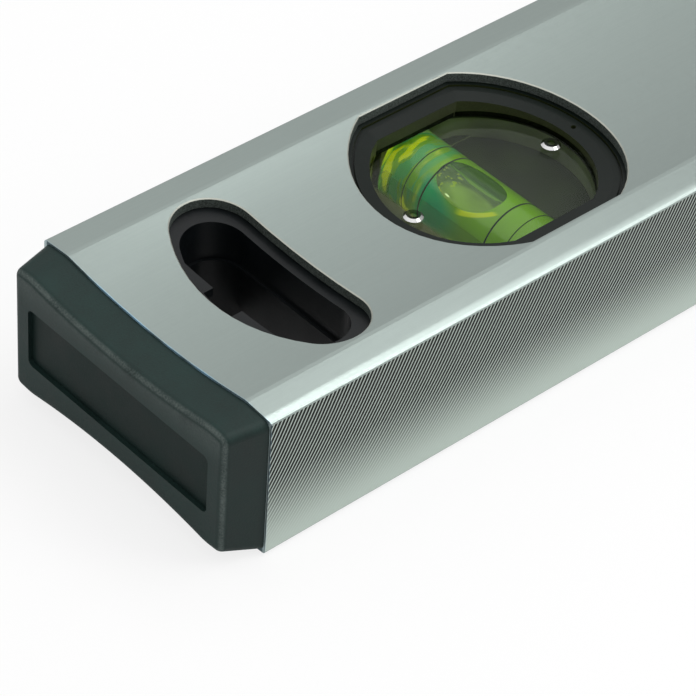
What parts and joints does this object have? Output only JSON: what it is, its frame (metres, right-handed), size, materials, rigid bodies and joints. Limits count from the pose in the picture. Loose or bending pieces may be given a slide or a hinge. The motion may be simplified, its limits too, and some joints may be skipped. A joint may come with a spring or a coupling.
{
  "type": "magnetic spirit level",
  "caption": "Hollow aluminium box-beam level with black end caps, hang holes near its ends, plumb vials, a top-read level vial and magnets in its milled base",
  "frame": {"origin": "bottom centre of the bounding box, with the level lying on a wide face", "axes": "+X along the beam, -Y out of the milled measuring base, +Z out of the upper wide face"},
  "size_m": [0.4, 0.06, 0.0306],
  "materials": {
    "anodised_aluminium": "satin anodised, milled base",
    "cap_plastic": "fine moulded grain",
    "liner_plastic": "moulded",
    "housing_plastic": "moulded",
    "clear_cover": "clear acrylic",
    "smoky_carrier": "smoky clear plastic",
    "vial_acrylic": "clear acrylic",
    "vial_plug": "clear to milky plastic",
    "vial_liquid": "yellow-green liquid",
    "graduation_ink": "printed ink",
    "magnet_steel": "turned steel",
    "magnet_nickel": "nickel plated"
  },
  "bodies": {
    "root": {"beam_extrusion": "anodised_aluminium", "end_cap_left": "cap_plastic", "end_cap_right": "cap_plastic", "hang_left_liner_back": "liner_plastic", "hang_left_liner_front": "liner_plastic", "hang_right_liner_back": "liner_plastic", "hang_right_liner_front": "liner_plastic", "level_bezel_back": "housing_plastic", "level_bezel_front": "housing_plastic", "level_vial_liquid": "vial_liquid", "level_vial_plug": "vial_plug", "level_vial_rings": "graduation_ink", "level_vial_tube": "vial_acrylic", "level_window_back": "clear_cover", "level_window_front": "clear_cover", "level_window_top": "clear_cover", "magnet_cup_1": "magnet_steel", "magnet_cup_2": "magnet_steel", "magnet_cup_3": "magnet_steel", "magnet_cup_4": "magnet_steel", "magnet_disc_1": "magnet_nickel", "magnet_disc_2": "magnet_nickel", "magnet_disc_3": "magnet_nickel", "magnet_disc_4": "magnet_nickel", "plumb_left_bezel_back": "housing_plastic", "plumb_left_bezel_front": "housing_plastic", "plumb_left_carrier_back": "smoky_carrier", "plumb_left_carrier_front": "smoky_carrier", "plumb_left_vial_liquid": "vial_liquid", "plumb_left_vial_plug": "vial_plug", "plumb_left_vial_rings": "graduation_ink", "plumb_left_vial_tube": "vial_acrylic", "plumb_left_window_back": "clear_cover", "plumb_left_window_front": "clear_cover", "plumb_right_bezel_back": "housing_plastic", "plumb_right_bezel_front": "housing_plastic", "plumb_right_carrier_back": "smoky_carrier", "plumb_right_carrier_front": "smoky_carrier", "plumb_right_vial_liquid": "vial_liquid", "plumb_right_vial_plug": "vial_plug", "plumb_right_vial_rings": "graduation_ink", "plumb_right_vial_tube": "vial_acrylic", "plumb_right_window_back": "clear_cover", "plumb_right_window_front": "clear_cover"}
  },
  "joints": []
}
